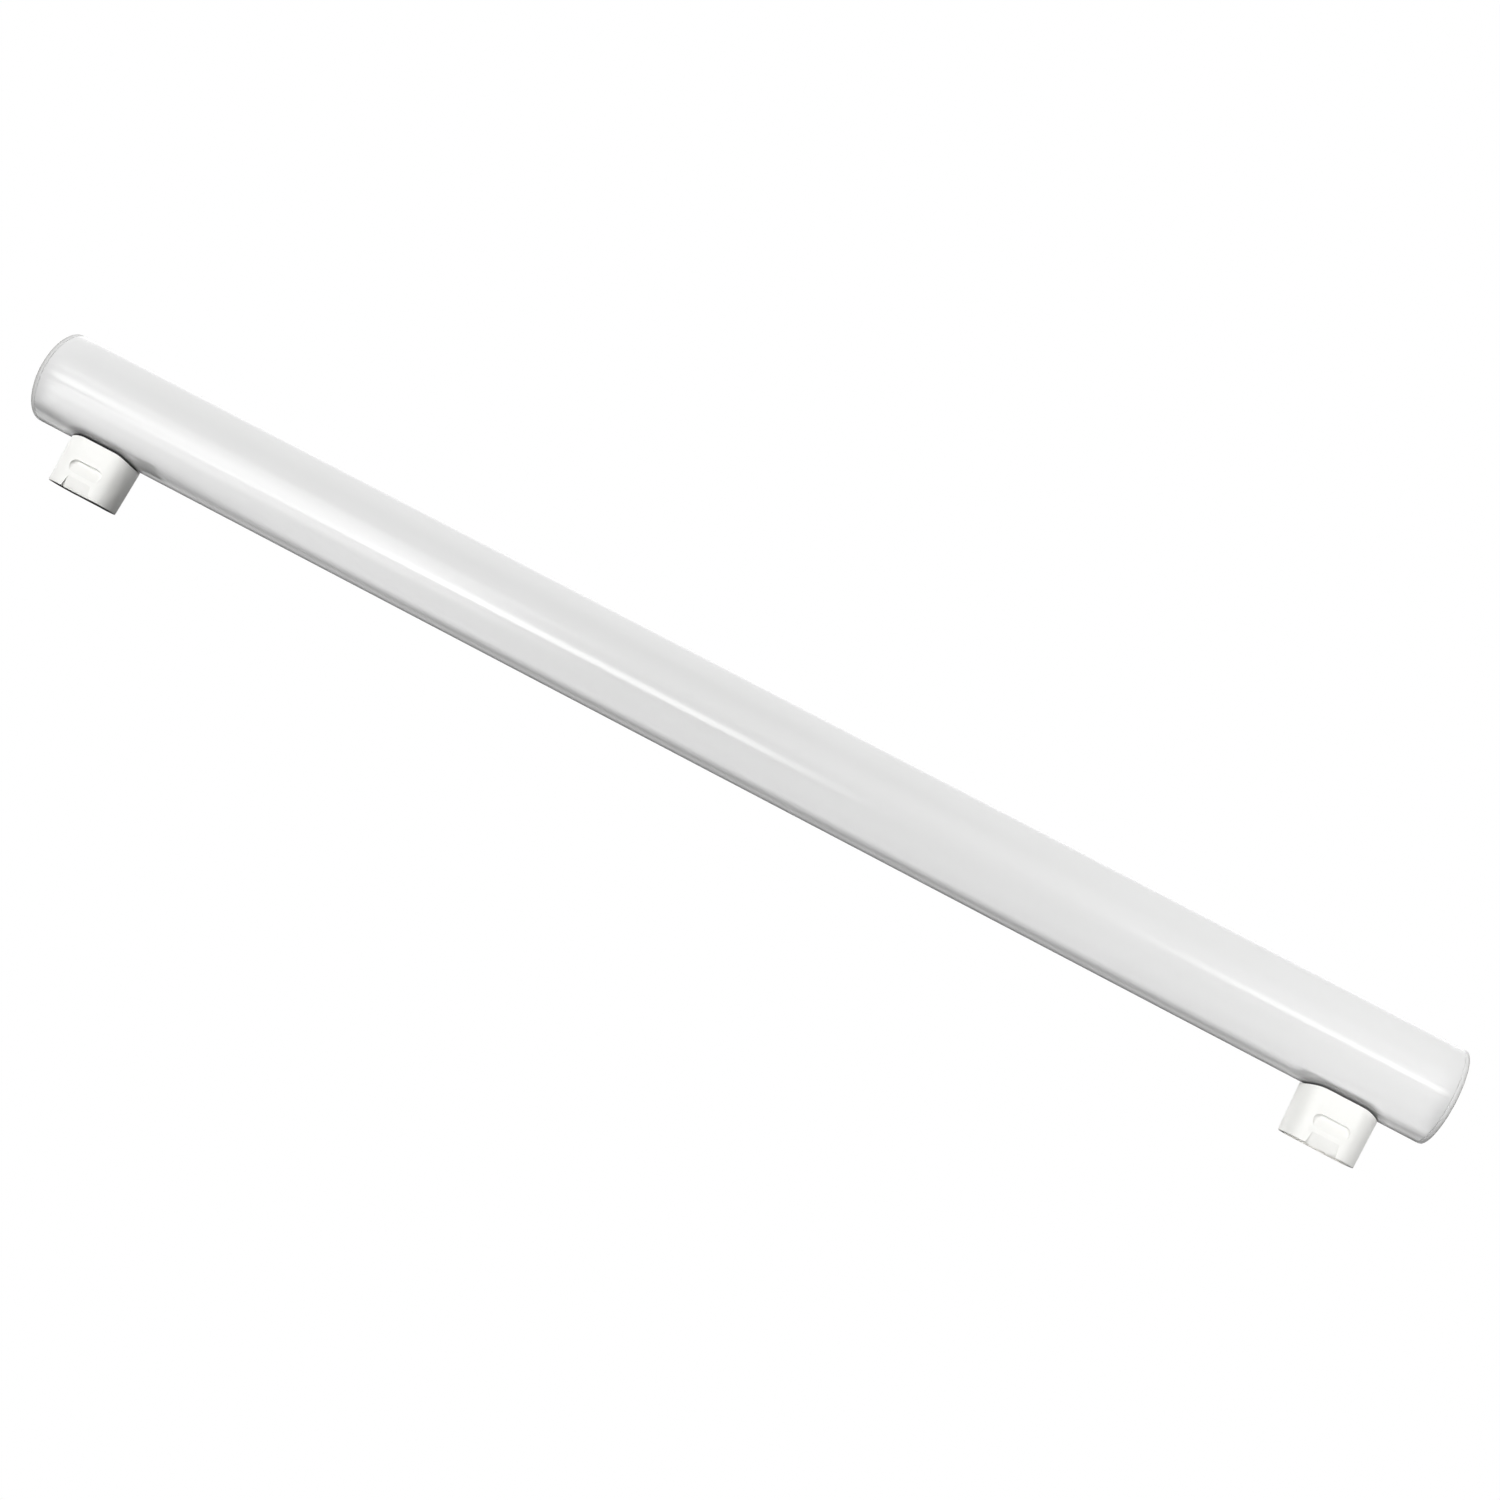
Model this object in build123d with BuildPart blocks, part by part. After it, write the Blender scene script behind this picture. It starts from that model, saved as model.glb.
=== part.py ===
# Linear LED lamp with two side pegs: an opal tube, its end caps and pegs, and the light engine inside.
# X runs along the tube, Z is up from the pegs' ends to the tube, and the origin is midway between the
# two pegs on the plane of their ends. The right-hand pieces are drawn and the left-hand ones mirrored.

import os
from math import radians, sqrt, tan

from build123d import *

# Lamp as a whole
lamp_length = 500.0
axis_height = 32.0
peg_setback = 27.0

# Tube
tube_diameter = 31.75
tube_wall = 1.2

# End caps
cap_rim = 1.5
cap_edge_radius = 0.4
spigot_length = 7.0
spigot_wall = 1.2
spigot_clearance = 0.1
shelf_thickness = 1.4

# Pegs: an oblong that widens towards the tube by the mould's draft
peg_length = 24.7
peg_width = 13.8
peg_draft = 1.2
peg_end_radius = 0.3
saddle_clearance = 0.2

# Neck of a peg, which snaps through a cut-out in the tube: heights are above the tube's underside
neck_length = 18.0
neck_width = 7.0
neck_height = 3.5
neck_clearance = 0.15
hook_reach = 1.2
hook_width = 5.0
hook_height = 1.6
slit_place = 5.5
slit_width = 1.0
slit_height = 0.5

# Inside of a peg: the contact's well, the cavity above it and the passage for the lead
well_length = 20.6
well_width = 9.6
well_depth = 1.6
cavity_length = 18.2
cavity_width = 7.2
cavity_top = 12.0
passage_length = 12.0
passage_width = 3.6

# Snap recess on each flat of a peg: deep and coved along its top edge, and running out below
recess_width = 12.5
recess_top = 10.0
recess_bottom = 5.6
recess_depth = 1.7
recess_corner = 2.7
recess_cove = 1.4

# Lead-in notch at the end of each flat of a peg
notch_end_width = 10.2
notch_top_width = 8.8
notch_height = 4.0
notch_depth = 1.1

# Contact plates
contact_clearance = 0.15
contact_thickness = 1.0
tab_width = 4.0
tab_thickness = 0.8
tab_top = 8.0

# Rail: heights are above the tube's axis
rail_clearance = 0.36
rail_top = 2.6
plate_thickness = 1.6
flange_thickness = 1.8
flange_bottom = -6.0
rail_end_gap = 0.5
tongue_gap = 1.0
tongue_side_clearance = 0.5
tongue_clearance = 0.1

# Driver board and its grooves in the rail's flanges
driver_length = 110.0
driver_thickness = 1.6
driver_underside = -4.5
groove_depth = 0.9
groove_clearance = 0.1
driver_side_clearance = 0.2

# LED board, LEDs and screws
led_board_setback = 21.0
led_board_width = 14.0
led_board_thickness = 1.2
led_board_corner = 1.0
led_count = 36
led_margin = 10.0
led_length = 3.5
led_width = 2.8
led_height = 0.7
screw_inset = 4.0
screw_offset = 4.6
screw_head_diameter = 4.4
screw_head_height = 1.6
screw_head_edge = 0.6
screw_diameter = 2.4
screw_length = 5.0
board_hole_diameter = 2.8
rail_hole_diameter = 2.5

# Leads
mains_lead_diameter = 1.6
mains_lead_bend = 8.0
mains_lead_foot_bend = 2.4
mains_lead_inset = 3.0
lead_gap = 0.1
led_lead_diameter = 1.0
led_lead_bend = 2.4
led_lead_inset = 15.0
led_lead_reach = 6.0
led_lead_offset = 4.5
led_hole_length = 5.0
led_hole_width = 2.4
led_hole_shift = 1.0

# Parts of the driver, with their places measured from the board's left-hand end
fuse_place = 11.5
fuse_length = 9.0
fuse_diameter = 3.2
fuse_end_diameter = 3.6
fuse_end_length = 1.4
surge_place = 20.0
surge_diameter = 7.4
surge_thickness = 3.2
surge_edge = 0.9
film_place = 29.0
film_length = 7.5
film_width = 5.0
film_height = 6.8
film_edge = 0.5
bridge_place = 38.0
bridge_length = 4.8
bridge_width = 4.0
bridge_height = 2.4
input_place = 51.0
input_length = 14.0
chip_place = 64.0
chip_length = 4.9
chip_width = 3.9
chip_height = 1.5
choke_place = 74.0
choke_diameter = 8.4
choke_height = 8.2
choke_flange = 1.3
choke_winding_diameter = 7.2
output_place = 87.0
output_length = 12.0
capacitor_diameter = 8.0
capacitor_groove_place = 1.6
capacitor_groove_depth = 0.4
capacitor_groove_width = 0.8
capacitor_edge = 0.4
resistor_pitch = 6.0
resistor_place = 60.0
resistor_rows = 2
resistor_columns = 3
resistor_row_spacing = 8.0
resistor_length = 3.2
resistor_width = 1.6
resistor_height = 0.6

# Legs of the driver's parts: round ones through holes in the board, and flat feet on its underside
leg_diameter = 0.6
leg_reach = 1.2
leg_bend = 0.8
leg_tail = 0.8
leg_hole_clearance = 0.1
surge_leg_spacing = 5.0
film_leg_spacing = 5.0
choke_leg_spacing = 4.4
capacitor_leg_spacing = 3.5
foot_thickness = 0.25
foot_reach = 1.0
bridge_feet = 2
bridge_foot_pitch = 2.5
bridge_foot_width = 0.6
chip_feet = 4
chip_foot_pitch = 1.27
chip_foot_width = 0.42

# Worked out from the sizes above
tube_radius = tube_diameter / 2
bore_radius = tube_radius - tube_wall
tube_end = lamp_length / 2 - cap_rim
tube_underside = axis_height - tube_radius
peg_place = lamp_length / 2 - peg_setback
neck_top = tube_underside + neck_height
hook_underside = tube_underside + hook_height
spigot_radius = bore_radius - spigot_clearance
spigot_bore = spigot_radius - spigot_wall
rail_end = tube_end - spigot_length - rail_end_gap
rail_width = 2 * sqrt((bore_radius - rail_clearance) ** 2 - flange_bottom**2)
tongue_end = tube_end - tongue_gap
tongue_width = 2 * sqrt((spigot_bore - tongue_side_clearance) ** 2 - rail_top**2)
plate_underside = rail_top - plate_thickness
led_board_bed = axis_height + rail_top
led_board_top = led_board_bed + led_board_thickness
led_board_length = 2 * (rail_end - led_board_setback)
led_pitch = (led_board_length - 2 * led_margin) / (led_count - 1)
screw_reach = led_board_length / 2 - screw_inset
screw_places = [
    (-screw_reach, -screw_offset),
    (-screw_reach / 3, screw_offset),
    (screw_reach / 3, screw_offset),
    (screw_reach, -screw_offset),
]
driver_start = -driver_length / 2
driver_bed = axis_height + driver_underside
driver_top = driver_bed + driver_thickness
driver_width = rail_width - 2 * (flange_thickness - groove_depth + driver_side_clearance)
leg_top = driver_top + leg_tail
mains_lead_end = driver_length / 2 - mains_lead_inset
mains_lead_height = axis_height + plate_underside - mains_lead_diameter / 2 - lead_gap
led_lead_place = driver_length / 2 - led_lead_inset
led_lead_height = led_board_top + led_lead_diameter / 2
led_hole_places = [(led_lead_place + led_hole_shift, side * led_lead_offset) for side in (-1, 1)]


# Plane square to the tube at x, centred on its axis: local x is +Y and local y is +Z.
def across(x):
    return Plane(origin=(x, 0, axis_height), x_dir=(0, 1, 0), z_dir=(1, 0, 0))


# Upright plane along the tube, with its origin at x and height z: local x is +X and local y is +Z.
def along(x, z):
    return Plane(origin=(x, 0, z), x_dir=(1, 0, 0), z_dir=(0, -1, 0))


# Plane of a peg at height z, centred on the right-hand peg.
def peg_plane(z):
    return Plane(origin=(peg_place, 0, z))


# Distance of a peg's flat from its middle at height z.
def flat_at(z):
    return peg_width / 2 + z * tan(radians(peg_draft))


# Places of two legs about a middle, spaced along the driver board or across it.
def leg_pair(place, along_board=0.0, across_board=0.0):
    middle = driver_start + place
    return [(middle + side * along_board / 2, side * across_board / 2) for side in (-1, 1)]


fuse_legs = leg_pair(fuse_place, along_board=fuse_length + 2 * leg_reach)
surge_legs = leg_pair(surge_place, across_board=surge_leg_spacing)
film_legs = leg_pair(film_place, along_board=film_leg_spacing)
choke_legs = leg_pair(choke_place, along_board=choke_leg_spacing)
input_legs = leg_pair(input_place - input_length / 2 - leg_reach, across_board=capacitor_leg_spacing)
output_legs = leg_pair(output_place - output_length / 2 - leg_reach, across_board=capacitor_leg_spacing)
leg_places = fuse_legs + surge_legs + film_legs + choke_legs + input_legs + output_legs

# Opal tube with a cut-out underneath for each peg's neck
with BuildPart() as tube:
    with BuildSketch(across(-tube_end)):
        Circle(tube_radius)
        Circle(bore_radius, mode=Mode.SUBTRACT)
    extrude(amount=2 * tube_end)
    with BuildSketch():
        with Locations((-peg_place, 0), (peg_place, 0)):
            SlotOverall(neck_length + 2 * neck_clearance, neck_width + 2 * neck_clearance)
    extrude(amount=axis_height, mode=Mode.SUBTRACT)

# End cap: rim with an eased edge, hollow spigot, and two shelves that hold the tongue of the rail
with BuildPart() as right_end_cap:
    with BuildSketch(across(tube_end)):
        Circle(tube_radius)
    extrude(amount=cap_rim)
    fillet(right_end_cap.edges().group_by(Axis.X)[-1], cap_edge_radius)
    with BuildSketch(across(tube_end)):
        Circle(spigot_radius)
        Circle(spigot_bore, mode=Mode.SUBTRACT)
    extrude(amount=-spigot_length)
    with BuildSketch(across(tube_end)):
        with Locations((0, rail_top + tongue_clearance)):
            Rectangle(2 * tube_radius, shelf_thickness, align=(Align.CENTER, Align.MIN))
        with Locations((0, plate_underside - tongue_clearance)):
            Rectangle(2 * tube_radius, shelf_thickness, align=(Align.CENTER, Align.MAX))
        Circle(spigot_bore + spigot_wall / 2, mode=Mode.INTERSECT)
    extrude(amount=-spigot_length)

# Cutter for the snap recess on the front flat: a wedge with rounded top corners, coved but at its foot
with BuildPart() as snap_recess:
    with BuildSketch(Plane.YZ.offset(peg_place - recess_width / 2)):
        with BuildLine():
            Polyline(
                (recess_depth - flat_at(recess_top), recess_top),
                (-flat_at(recess_bottom), recess_bottom),
                (-peg_width, recess_bottom),
                (-peg_width, recess_top),
                close=True,
            )
        make_face()
    extrude(amount=recess_width)
    fillet(snap_recess.edges().filter_by(Axis.Y).group_by(Axis.Z)[-1], recess_corner)
    fillet(snap_recess.faces().sort_by(Axis.Y)[-1].edges().sort_by(Axis.Z)[1:], recess_cove)

# Cutter for the lead-in notch on the front flat: deepest at the peg's end, and wider there
with BuildPart() as lead_in_notch:
    with BuildSketch(Plane.YZ.offset(peg_place - notch_end_width / 2)):
        with BuildLine():
            Polyline(
                (notch_depth - flat_at(0), 0),
                (-flat_at(notch_height), notch_height),
                (-peg_width, notch_height),
                (-peg_width, 0),
                close=True,
            )
        make_face()
    extrude(amount=notch_end_width)
    with BuildSketch(along(peg_place, 0)):
        with BuildLine():
            Polyline(
                (-notch_end_width / 2, 0),
                (notch_end_width / 2, 0),
                (notch_top_width / 2, notch_height),
                (-notch_top_width / 2, notch_height),
                close=True,
            )
        make_face()
    extrude(amount=peg_width, mode=Mode.INTERSECT)

# Peg: drafted oblong with a saddle for the tube, a hooked neck, and a hollow for the contact and lead
with BuildPart() as right_peg:
    with BuildSketch(peg_plane(0)):
        SlotOverall(peg_length, peg_width)
    extrude(amount=axis_height, taper=-peg_draft)
    fillet(right_peg.edges().group_by(Axis.Z)[0], peg_end_radius)
    with BuildSketch(across(peg_place - peg_length)):
        Circle(tube_radius + saddle_clearance)
    extrude(amount=2 * peg_length, mode=Mode.SUBTRACT)
    with BuildSketch(peg_plane(cavity_top)):
        SlotOverall(neck_length, neck_width)
    extrude(amount=neck_top - cavity_top)
    with BuildSketch(peg_plane(hook_underside)):
        Rectangle(neck_length + 2 * hook_reach, hook_width)
    extrude(amount=neck_top - hook_underside)
    chamfer(right_peg.edges().filter_by(Axis.Y).group_by(Axis.Z)[-1], hook_reach)
    with BuildSketch(peg_plane(tube_underside + slit_height)):
        with Locations((-slit_place, 0), (slit_place, 0)):
            Rectangle(slit_width, neck_width)
    extrude(amount=neck_top, mode=Mode.SUBTRACT)
    with BuildSketch(peg_plane(0)):
        SlotOverall(well_length, well_width)
    extrude(amount=well_depth, mode=Mode.SUBTRACT)
    with BuildSketch(peg_plane(0)):
        SlotOverall(cavity_length, cavity_width)
    extrude(amount=cavity_top, mode=Mode.SUBTRACT)
    with BuildSketch(peg_plane(0)):
        SlotOverall(passage_length, passage_width)
    extrude(amount=2 * neck_top, mode=Mode.SUBTRACT)
    add(snap_recess.part, mode=Mode.SUBTRACT)
    mirror(snap_recess.part, about=Plane.XZ, mode=Mode.SUBTRACT)
    add(lead_in_notch.part, mode=Mode.SUBTRACT)
    mirror(lead_in_notch.part, about=Plane.XZ, mode=Mode.SUBTRACT)

# Contact plate on the ledge of the peg's well, with a solder tab that stands up in the cavity
with BuildPart() as right_contact:
    with BuildSketch(peg_plane(well_depth)):
        SlotOverall(well_length - 2 * contact_clearance, well_width - 2 * contact_clearance)
    extrude(amount=-contact_thickness)
    with BuildSketch(peg_plane(well_depth)):
        Rectangle(tab_width, tab_thickness)
    extrude(amount=tab_top - well_depth)

# Rail: a plate with two grooved flanges, a tongue at each end, and holes for screws and LED leads
with BuildPart() as rail:
    with BuildSketch(across(-rail_end)):
        with Locations((0, rail_top)):
            Rectangle(rail_width, rail_top - flange_bottom, align=(Align.CENTER, Align.MAX))
        with Locations((0, plate_underside)):
            Rectangle(
                rail_width - 2 * flange_thickness,
                plate_underside - flange_bottom,
                align=(Align.CENTER, Align.MAX),
                mode=Mode.SUBTRACT,
            )
        with Locations((0, driver_underside + driver_thickness / 2)):
            Rectangle(
                rail_width - 2 * (flange_thickness - groove_depth),
                driver_thickness + 2 * groove_clearance,
                mode=Mode.SUBTRACT,
            )
    extrude(amount=2 * rail_end)
    with BuildSketch(across(-tongue_end)):
        with Locations((0, rail_top)):
            Rectangle(tongue_width, plate_thickness, align=(Align.CENTER, Align.MAX))
    extrude(amount=2 * tongue_end)
    with BuildSketch(Plane.XY.offset(led_board_bed)):
        with Locations(*screw_places):
            Circle(rail_hole_diameter / 2)
        with Locations(*led_hole_places):
            SlotOverall(led_hole_length, led_hole_width)
    extrude(amount=-plate_thickness, mode=Mode.SUBTRACT)

# LED board on the rail
with BuildPart() as led_board:
    with BuildSketch(Plane.XY.offset(led_board_bed)):
        RectangleRounded(led_board_length, led_board_width, led_board_corner)
        with Locations(*screw_places):
            Circle(board_hole_diameter / 2, mode=Mode.SUBTRACT)
        with Locations(*led_hole_places):
            SlotOverall(led_hole_length, led_hole_width, mode=Mode.SUBTRACT)
    extrude(amount=led_board_thickness)

# LEDs in one row along the board
with BuildPart() as leds:
    with BuildSketch(Plane.XY.offset(led_board_top)):
        with GridLocations(led_pitch, 1, led_count, 1):
            Rectangle(led_length, led_width)
    extrude(amount=led_height)

# Pan-head screws that hold the LED board to the rail
with BuildPart() as board_screws:
    with BuildSketch(Plane.XY.offset(led_board_top)):
        with Locations(*screw_places):
            Circle(screw_head_diameter / 2)
    extrude(amount=screw_head_height)
    fillet(board_screws.edges().group_by(Axis.Z)[-1], screw_head_edge)
    with BuildSketch(Plane.XY.offset(led_board_top)):
        with Locations(*screw_places):
            Circle(screw_diameter / 2)
    extrude(amount=-screw_length)

# Driver board in the rail's grooves, with holes for the round legs
with BuildPart() as driver_board:
    with BuildSketch(Plane.XY.offset(driver_bed)):
        Rectangle(driver_length, driver_width)
        with Locations(*leg_places):
            Circle(leg_diameter / 2 + leg_hole_clearance, mode=Mode.SUBTRACT)
    extrude(amount=driver_thickness)

# Fuse resistor, lying along the board: a body between two end collars, with a bent leg at each end
with BuildPart() as fuse_resistor:
    fuse_plane = along(driver_start + fuse_place, driver_bed - fuse_end_diameter / 2)
    with BuildSketch(fuse_plane):
        Rectangle(fuse_length, fuse_diameter / 2, align=(Align.CENTER, Align.MIN))
        with Locations((-fuse_length / 2, 0)):
            Rectangle(fuse_end_length, fuse_end_diameter / 2, align=Align.MIN)
        with Locations((fuse_length / 2, 0)):
            Rectangle(fuse_end_length, fuse_end_diameter / 2, align=(Align.MAX, Align.MIN))
    revolve(axis=Axis(fuse_plane.origin, (1, 0, 0)))
    for leg_x, leg_y in fuse_legs:
        with BuildLine():
            FilletPolyline(
                fuse_plane.origin,
                (leg_x, leg_y, fuse_plane.origin.Z),
                (leg_x, leg_y, leg_top),
                radius=leg_bend,
            )
        with BuildSketch(Plane(fuse_plane.origin, z_dir=(leg_x - fuse_plane.origin.X, 0, 0))):
            Circle(leg_diameter / 2)
        sweep()

# Surge disc, standing on edge across the board
with BuildPart() as surge_disc:
    with BuildSketch(across(driver_start + surge_place - surge_thickness / 2)):
        with Locations((0, driver_underside - surge_diameter / 2)):
            Circle(surge_diameter / 2)
    extrude(amount=surge_thickness)
    fillet(surge_disc.edges().filter_by(GeomType.CIRCLE), surge_edge)
    with BuildSketch(Plane.XY.offset(driver_bed - surge_diameter / 2)):
        with Locations(*surge_legs):
            Circle(leg_diameter / 2)
    extrude(amount=leg_top - driver_bed + surge_diameter / 2)

# Film capacitor
with BuildPart() as film_capacitor:
    with BuildSketch(Plane.XY.offset(driver_bed)):
        with Locations((driver_start + film_place, 0)):
            Rectangle(film_length, film_width)
    extrude(amount=-film_height)
    chamfer(film_capacitor.edges().group_by(Axis.Z)[0], film_edge)
    with BuildSketch(Plane.XY.offset(driver_bed)):
        with Locations(*film_legs):
            Circle(leg_diameter / 2)
    extrude(amount=leg_top - driver_bed)


# Moulded part under the board, with flat feet that come out of two sides at half its height.
def footed_part(place, length, width, height, feet, foot_pitch, foot_width):
    middle = driver_start + place
    with BuildPart() as moulding:
        with BuildSketch(Plane.XY.offset(driver_bed)):
            with Locations((middle, 0)):
                Rectangle(length, width)
        extrude(amount=-height)
        for number in range(feet):
            foot_x = middle + (number - (feet - 1) / 2) * foot_pitch - foot_width / 2
            with BuildSketch(across(foot_x)):
                with BuildLine():
                    Polyline(
                        (0, driver_underside - height / 2),
                        (width / 2 + foot_reach / 2, driver_underside - height / 2),
                        (width / 2 + foot_reach / 2, driver_underside - foot_thickness / 2),
                        (width / 2 + foot_reach, driver_underside - foot_thickness / 2),
                    )
                trace(line_width=foot_thickness)
                mirror(about=Plane.YZ)
            extrude(amount=foot_width)
    return moulding


bridge_rectifier = footed_part(
    bridge_place,
    bridge_length,
    bridge_width,
    bridge_height,
    bridge_feet,
    bridge_foot_pitch,
    bridge_foot_width,
)
driver_chip = footed_part(
    chip_place,
    chip_length,
    chip_width,
    chip_height,
    chip_feet,
    chip_foot_pitch,
    chip_foot_width,
)


# Electrolytic can that lies along the board, with a crimped groove near the end that its legs leave.
def capacitor(place, length, legs):
    can_plane = along(driver_start + place, driver_bed - capacitor_diameter / 2)
    groove_shift = -length / 2 + capacitor_groove_place
    with BuildPart() as can:
        with BuildSketch(can_plane):
            Rectangle(length, capacitor_diameter / 2, align=(Align.CENTER, Align.MIN))
            with Locations((groove_shift, capacitor_diameter / 2)):
                Rectangle(capacitor_groove_width, 2 * capacitor_groove_depth, mode=Mode.SUBTRACT)
        revolve(axis=Axis(can_plane.origin, (1, 0, 0)))
        ends = can.edges().filter_by(GeomType.CIRCLE).sort_by(Axis.X)
        fillet([ends[0], ends[-1]], capacitor_edge)
        for leg_x, leg_y in legs:
            leg_start = Vector(driver_start + place, leg_y, can_plane.origin.Z)
            with BuildLine():
                FilletPolyline(
                    leg_start,
                    (leg_x, leg_y, leg_start.Z),
                    (leg_x, leg_y, leg_top),
                    radius=leg_bend,
                )
            with BuildSketch(Plane(leg_start, z_dir=(-1, 0, 0))):
                Circle(leg_diameter / 2)
            sweep()
    return can


input_capacitor = capacitor(input_place, input_length, input_legs)
output_capacitor = capacitor(output_place, output_length, output_legs)

# Choke: a winding between the two flanges of its core, on two legs
with BuildPart() as choke:
    choke_plane = along(driver_start + choke_place, driver_bed)
    with BuildSketch(choke_plane):
        Rectangle(choke_winding_diameter / 2, choke_height, align=(Align.MIN, Align.MAX))
        Rectangle(choke_diameter / 2, choke_flange, align=(Align.MIN, Align.MAX))
        with Locations((0, -choke_height)):
            Rectangle(choke_diameter / 2, choke_flange, align=Align.MIN)
    revolve(axis=Axis(choke_plane.origin, (0, 0, 1)))
    with BuildSketch(Plane.XY.offset(driver_bed)):
        with Locations(*choke_legs):
            Circle(leg_diameter / 2)
    extrude(amount=leg_top - driver_bed)

# Chip resistors on the upper side of the driver board
with BuildPart() as chip_resistors:
    with BuildSketch(Plane.XY.offset(driver_top)):
        with Locations((driver_start + resistor_place, 0)):
            with GridLocations(resistor_pitch, resistor_row_spacing, resistor_columns, resistor_rows):
                Rectangle(resistor_length, resistor_width)
    extrude(amount=resistor_height)

# Mains lead: from the contact's tab up through the neck, then under the rail's plate to the driver board
with BuildPart() as right_lead:
    with BuildLine():
        FilletPolyline(
            (peg_place, 0, tab_top),
            (peg_place, 0, mains_lead_height),
            (mains_lead_end, 0, mains_lead_height),
            (mains_lead_end, 0, driver_top),
            radius=[mains_lead_bend, mains_lead_foot_bend],
        )
    with BuildSketch(peg_plane(tab_top)):
        Circle(mains_lead_diameter / 2)
    sweep()


# LED lead: from the driver board up through the rail and the LED board, then flat on its pad.
def led_lead(side):
    offset_y = side * led_lead_offset
    with BuildPart() as lead:
        with BuildLine():
            FilletPolyline(
                (led_lead_place, offset_y, driver_top),
                (led_lead_place, offset_y, led_lead_height),
                (led_lead_place + led_lead_reach, offset_y, led_lead_height),
                radius=led_lead_bend,
            )
        with BuildSketch(Plane(origin=(led_lead_place, offset_y, driver_top))):
            Circle(led_lead_diameter / 2)
        sweep()
    return lead


# Left-hand pieces, mirrored from the right-hand ones
with BuildPart() as left_end_cap:
    mirror(right_end_cap.part, about=Plane.YZ)

with BuildPart() as left_peg:
    mirror(right_peg.part, about=Plane.YZ)

with BuildPart() as left_contact:
    mirror(right_contact.part, about=Plane.YZ)

with BuildPart() as left_lead:
    mirror(right_lead.part, about=Plane.YZ)

# Every piece is written under its own name
pieces = {
    "tube": tube,
    "left_end_cap": left_end_cap,
    "right_end_cap": right_end_cap,
    "left_peg": left_peg,
    "right_peg": right_peg,
    "left_contact": left_contact,
    "right_contact": right_contact,
    "rail": rail,
    "led_board": led_board,
    "leds": leds,
    "board_screws": board_screws,
    "driver_board": driver_board,
    "fuse_resistor": fuse_resistor,
    "surge_disc": surge_disc,
    "film_capacitor": film_capacitor,
    "bridge_rectifier": bridge_rectifier,
    "input_capacitor": input_capacitor,
    "driver_chip": driver_chip,
    "choke": choke,
    "output_capacitor": output_capacitor,
    "chip_resistors": chip_resistors,
    "left_lead": left_lead,
    "right_lead": right_lead,
    "led_lead_plus": led_lead(-1),
    "led_lead_minus": led_lead(1),
}
os.makedirs("parts", exist_ok=True)
for name, piece in pieces.items():
    piece.part.label = name
    export_step(piece.part, f"parts/{name}.step")
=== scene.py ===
from math import pi, radians, tan

import bpy
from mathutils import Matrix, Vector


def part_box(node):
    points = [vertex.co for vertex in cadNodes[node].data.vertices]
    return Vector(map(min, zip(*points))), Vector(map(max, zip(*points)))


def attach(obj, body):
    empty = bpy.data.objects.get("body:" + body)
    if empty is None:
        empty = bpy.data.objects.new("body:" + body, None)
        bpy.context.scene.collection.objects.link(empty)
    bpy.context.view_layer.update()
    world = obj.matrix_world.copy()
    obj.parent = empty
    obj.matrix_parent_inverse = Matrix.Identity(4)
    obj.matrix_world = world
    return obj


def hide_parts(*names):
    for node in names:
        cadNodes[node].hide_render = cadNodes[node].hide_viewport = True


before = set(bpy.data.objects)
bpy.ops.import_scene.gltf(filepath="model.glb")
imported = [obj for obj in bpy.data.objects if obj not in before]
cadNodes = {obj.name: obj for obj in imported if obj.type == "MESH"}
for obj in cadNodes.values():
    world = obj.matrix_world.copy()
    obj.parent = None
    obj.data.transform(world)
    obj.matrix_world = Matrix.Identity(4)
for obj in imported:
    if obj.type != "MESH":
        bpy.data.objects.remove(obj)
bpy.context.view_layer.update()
mm = 0.001

tubeRadius = 15.87 * mm
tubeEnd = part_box("tube")[1].x
axisHeight = 32 * mm
pegLow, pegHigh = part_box("right_peg")
pegPlace = (pegLow.x + pegHigh.x) / 2
nearly = 0.01 * mm  # places this close count as one
mergeGap = 0.002 * mm  # points this close are merged


# Selection and modelling helpers

def toObjectMode():
    if bpy.context.object and bpy.context.object.mode != "OBJECT":
        bpy.ops.object.mode_set(mode="OBJECT")


def soloSelect(piece):
    toObjectMode()
    bpy.ops.object.select_all(action="DESELECT")
    piece.select_set(True)
    bpy.context.view_layer.objects.active = piece


def fixPlace(piece):  # the place goes into the mesh
    soloSelect(piece)
    bpy.ops.object.transform_apply(location=True, rotation=True, scale=True)


def pick(piece, kind, test):  # leaves edit mode on, with what passes the test selected
    soloSelect(piece)
    bpy.ops.object.mode_set(mode="EDIT")
    bpy.ops.mesh.select_mode(type=kind)
    bpy.ops.mesh.select_all(action="DESELECT")
    bpy.ops.object.mode_set(mode="OBJECT")
    mesh = piece.data
    if kind == "FACE":
        for face in mesh.polygons:
            face.select = test(face.center, face.normal)
    elif kind == "EDGE":
        for edge in mesh.edges:
            start, end = (mesh.vertices[i].co for i in edge.vertices)
            edge.select = test(start, end)
    else:
        for vertex in mesh.vertices:
            vertex.select = test(vertex.co)
    bpy.ops.object.mode_set(mode="EDIT")


def finishWith(piece, kind, **settings):  # adds a modifier and applies it
    soloSelect(piece)
    change = piece.modifiers.new(kind.lower(), kind)
    for name, value in settings.items():
        setattr(change, name, value)
    bpy.ops.object.modifier_apply(modifier=change.name)


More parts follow.
